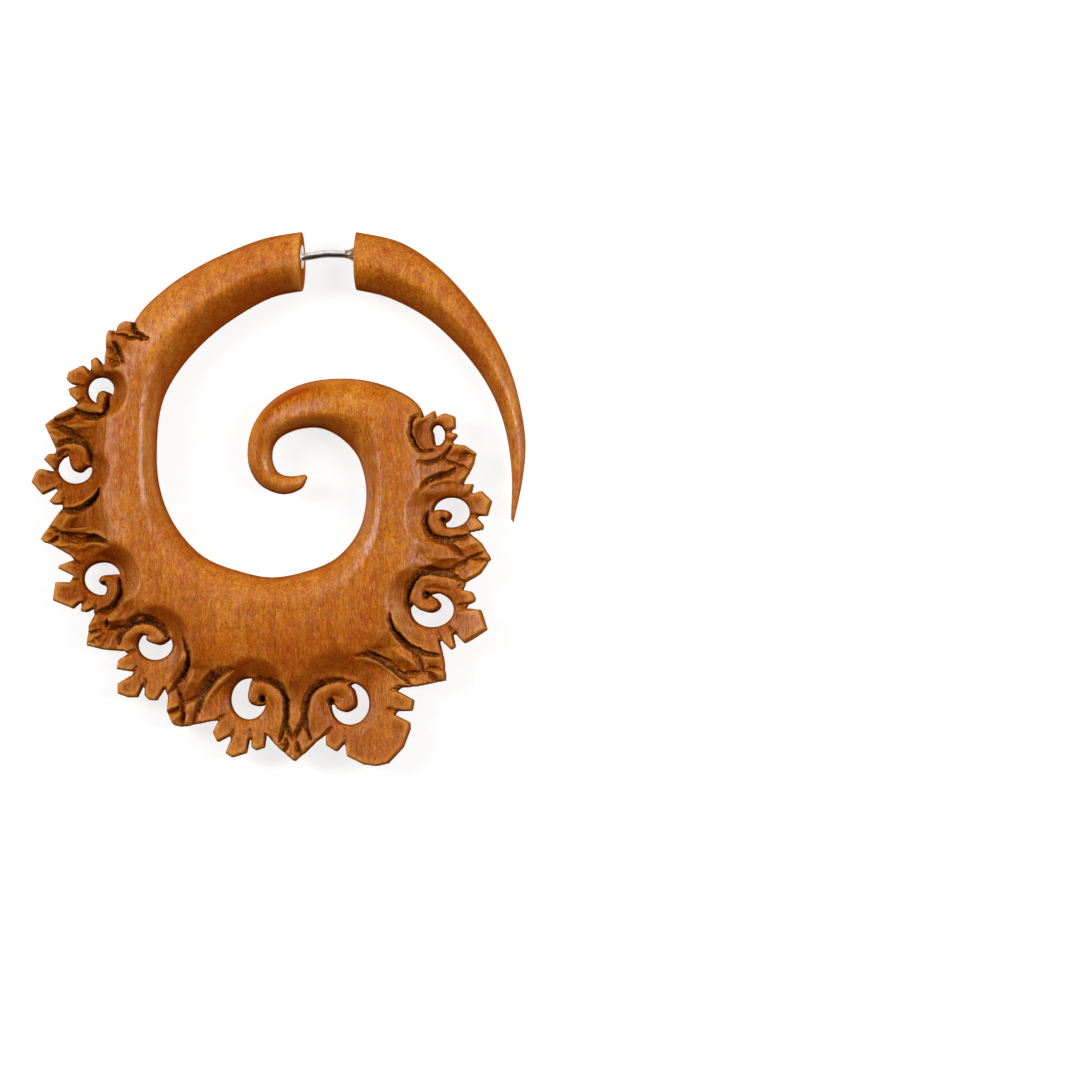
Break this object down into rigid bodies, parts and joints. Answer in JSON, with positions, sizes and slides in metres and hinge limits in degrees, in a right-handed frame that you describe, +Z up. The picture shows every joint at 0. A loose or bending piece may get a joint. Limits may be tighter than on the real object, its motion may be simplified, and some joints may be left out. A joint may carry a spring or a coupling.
{
  "type": "wooden ear hanger",
  "caption": "Carved wooden spiral ear hanger with a pierced scroll border, closed by a thin steel pin set in a wooden taper.",
  "frame": {"origin": "centre of the outline, on the surface that it lies on", "axes": "+Z up out of the carved face, +Y towards the ear end with the pin, +X from the spiral's socket towards the taper, along the pin"},
  "size_m": [0.0548, 0.059, 0.0066],
  "materials": {
    "carved_wood": "oiled and rubbed, darker in the carved lines",
    "taper_wood": "oiled and rubbed",
    "sleeve_metal": "bright, satin",
    "pin_steel": "polished steel wire",
    "glue": "glossy hardened glue"
  },
  "bodies": {
    "spiral": {"carved_spiral": "carved_wood"},
    "sleeve": {"socket_sleeve": "sleeve_metal"},
    "taper": {"taper": "taper_wood", "glue_collar": "glue", "ear_pin": "pin_steel"}
  },
  "joints": [
    {"name": "taper_turn", "type": "hinge", "parent": "spiral", "child": "sleeve", "pos_m": [0.0004, 0.0268, 0.0033], "axis": [1, 0, 0], "continuous": true},
    {"name": "pin_slide", "type": "slide", "parent": "sleeve", "child": "taper", "axis": [1, 0, 0], "range_m": [0, 0.008]}
  ]
}
